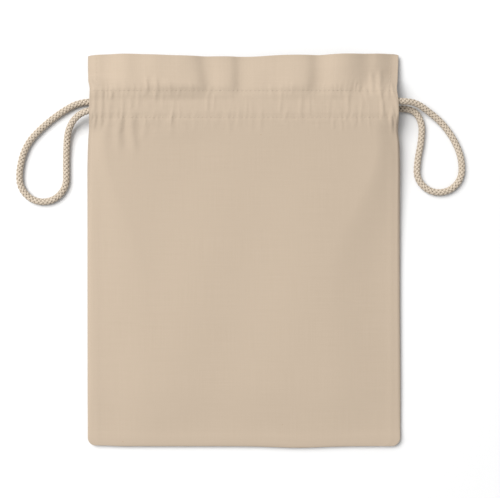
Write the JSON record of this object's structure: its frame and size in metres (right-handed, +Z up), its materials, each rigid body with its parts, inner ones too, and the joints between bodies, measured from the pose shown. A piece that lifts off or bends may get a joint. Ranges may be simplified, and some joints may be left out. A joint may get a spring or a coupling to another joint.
{
  "type": "drawstring gift sack",
  "caption": "Flat, empty cotton gift sack with a standing header and two braided cord loops in a sewn channel, one out of each side, that gather its mouth.",
  "frame": {"origin": "centre of the back panel's underside, on the surface that the sack lies on", "axes": "+X across the sack, +Y from the bottom seam towards the mouth, +Z up out of the surface, through the front panel"},
  "size_m": [0.362, 0.314, 0.019],
  "materials": {
    "cotton_cloth": "unbleached plain-weave cotton, matt, softly creased",
    "braided_cord": "round braided cotton cord, undyed",
    "sewing_thread": "undyed cotton sewing thread"
  },
  "bodies": {
    "sack": {"front_panel": "cotton_cloth", "back_panel": "cotton_cloth", "front_hem_facing": "cotton_cloth", "back_hem_facing": "cotton_cloth", "bottom_seam_allowance": "cotton_cloth", "front_upper_channel_stitching": "sewing_thread", "front_lower_channel_stitching": "sewing_thread", "back_upper_channel_stitching": "sewing_thread", "back_lower_channel_stitching": "sewing_thread", "front_left_slit_stitching": "sewing_thread", "front_right_slit_stitching": "sewing_thread", "back_left_slit_stitching": "sewing_thread", "back_right_slit_stitching": "sewing_thread", "bottom_seam_stitching": "sewing_thread", "bottom_overlock": "sewing_thread"},
    "left_side": {"left_side_seam_allowance": "cotton_cloth", "left_side_seam_stitching": "sewing_thread", "left_side_overlock": "sewing_thread", "left_slit_bar_tack": "sewing_thread"},
    "right_side": {"right_side_seam_allowance": "cotton_cloth", "right_side_seam_stitching": "sewing_thread", "right_side_overlock": "sewing_thread", "right_slit_bar_tack": "sewing_thread"},
    "left_cord": {"left_cord_loop": "braided_cord", "left_cord_front_run": "braided_cord", "left_cord_back_run": "braided_cord", "left_cord_return": "braided_cord", "left_cord_splice": "sewing_thread"},
    "right_cord": {"right_cord_loop": "braided_cord", "right_cord_front_run": "braided_cord", "right_cord_back_run": "braided_cord", "right_cord_return": "braided_cord", "right_cord_splice": "sewing_thread"}
  },
  "joints": [
    {"name": "left_cord_pull", "type": "slide", "parent": "sack", "child": "left_cord", "axis": [-1, 0, 0], "range_m": [0, 0.08], "deforming": ["front_hem_facing", "back_hem_facing"]},
    {"name": "right_cord_pull", "type": "slide", "parent": "sack", "child": "right_cord", "axis": [1, 0, 0], "range_m": [0, 0.08], "deforming": ["front_hem_facing", "back_hem_facing"]},
    {"name": "left_side_gather", "type": "hinge", "parent": "sack", "child": "left_side", "pos_m": [-0.068, -0.157, 0.002], "axis": [0, 0, 1], "range_deg": [-18, 0], "deforming": ["front_hem_facing", "back_hem_facing"]},
    {"name": "right_side_gather", "type": "hinge", "parent": "sack", "child": "right_side", "pos_m": [0.068, -0.157, 0.002], "axis": [0, 0, 1], "range_deg": [0, 18], "deforming": ["front_hem_facing", "back_hem_facing"]}
  ],
  "couplings": [
    {"joint": "right_cord_pull", "follows": "left_cord_pull", "ratio": 1},
    {"joint": "left_side_gather", "follows": "left_cord_pull", "rad_per_m": -3.6},
    {"joint": "right_side_gather", "follows": "left_cord_pull", "rad_per_m": 3.6}
  ]
}
